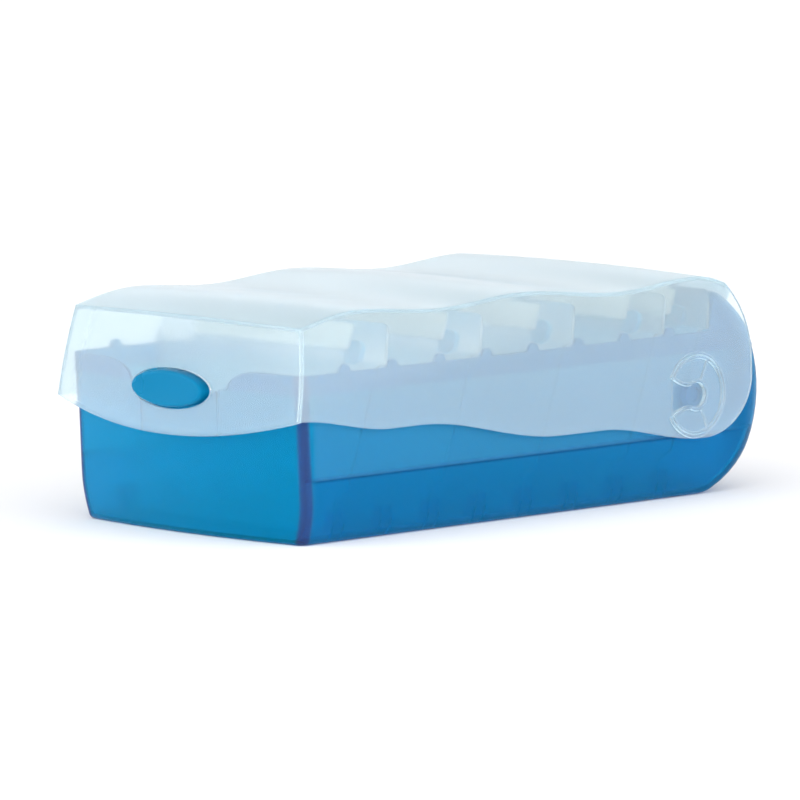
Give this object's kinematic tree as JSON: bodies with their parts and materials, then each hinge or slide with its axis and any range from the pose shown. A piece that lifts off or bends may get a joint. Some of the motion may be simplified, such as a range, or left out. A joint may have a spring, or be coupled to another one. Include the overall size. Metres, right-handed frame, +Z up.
{
  "type": "index card box",
  "caption": "Desktop index card box: translucent tray, hinged wavy see-through lid with an oval push latch, and leaning dividers for small cards.",
  "frame": {"origin": "centre of the tray's flat underside", "axes": "+Y from the latched front to the hinged rear, +X to the right seen from the front, +Z up"},
  "size_m": [0.138, 0.2759, 0.0921],
  "materials": {
    "blue_plastic": "translucent, satin moulded",
    "clear_frosted": "clear, lightly frosted",
    "frosted_plate": "frosted natural plastic",
    "label_card": "plain card"
  },
  "bodies": {
    "tray": {"tray": "blue_plastic"},
    "latch": {"latch_tongue": "blue_plastic"},
    "lid": {"lid": "clear_frosted"},
    "divider_1": {"divider_1": "frosted_plate", "divider_1_label": "label_card", "divider_1_clip": "blue_plastic"},
    "divider_2": {"divider_2": "frosted_plate", "divider_2_label": "label_card", "divider_2_clip": "blue_plastic"},
    "divider_3": {"divider_3": "frosted_plate", "divider_3_label": "label_card", "divider_3_clip": "blue_plastic"},
    "divider_4": {"divider_4": "frosted_plate", "divider_4_label": "label_card", "divider_4_clip": "blue_plastic"},
    "divider_5": {"divider_5": "frosted_plate", "divider_5_label": "label_card", "divider_5_clip": "blue_plastic"}
  },
  "joints": [
    {"name": "lid_hinge", "type": "hinge", "parent": "tray", "child": "lid", "pos_m": [0, 0.1007, 0.0419], "axis": [-1, 0, 0], "range_deg": [0, 90]},
    {"name": "latch_press", "type": "slide", "parent": "tray", "child": "latch", "axis": [0, 1, 0], "range_m": [0, 0.004], "stiffness_N_per_m": 400},
    {"name": "divider_1_tilt", "type": "hinge", "parent": "tray", "child": "divider_1", "pos_m": [0, -0.0955, 0.002], "axis": [1, 0, 0], "range_deg": [0, 8]},
    {"name": "divider_2_tilt", "type": "hinge", "parent": "tray", "child": "divider_2", "pos_m": [0, -0.0429, 0.002], "axis": [1, 0, 0], "range_deg": [0, 8]},
    {"name": "divider_3_tilt", "type": "hinge", "parent": "tray", "child": "divider_3", "pos_m": [0, 0.0097, 0.002], "axis": [1, 0, 0], "range_deg": [0, 8]},
    {"name": "divider_4_tilt", "type": "hinge", "parent": "tray", "child": "divider_4", "pos_m": [0, 0.0623, 0.002], "axis": [1, 0, 0], "range_deg": [0, 8]},
    {"name": "divider_5_tilt", "type": "hinge", "parent": "tray", "child": "divider_5", "pos_m": [0, 0.0886, 0.002], "axis": [1, 0, 0], "range_deg": [0, 8]}
  ]
}
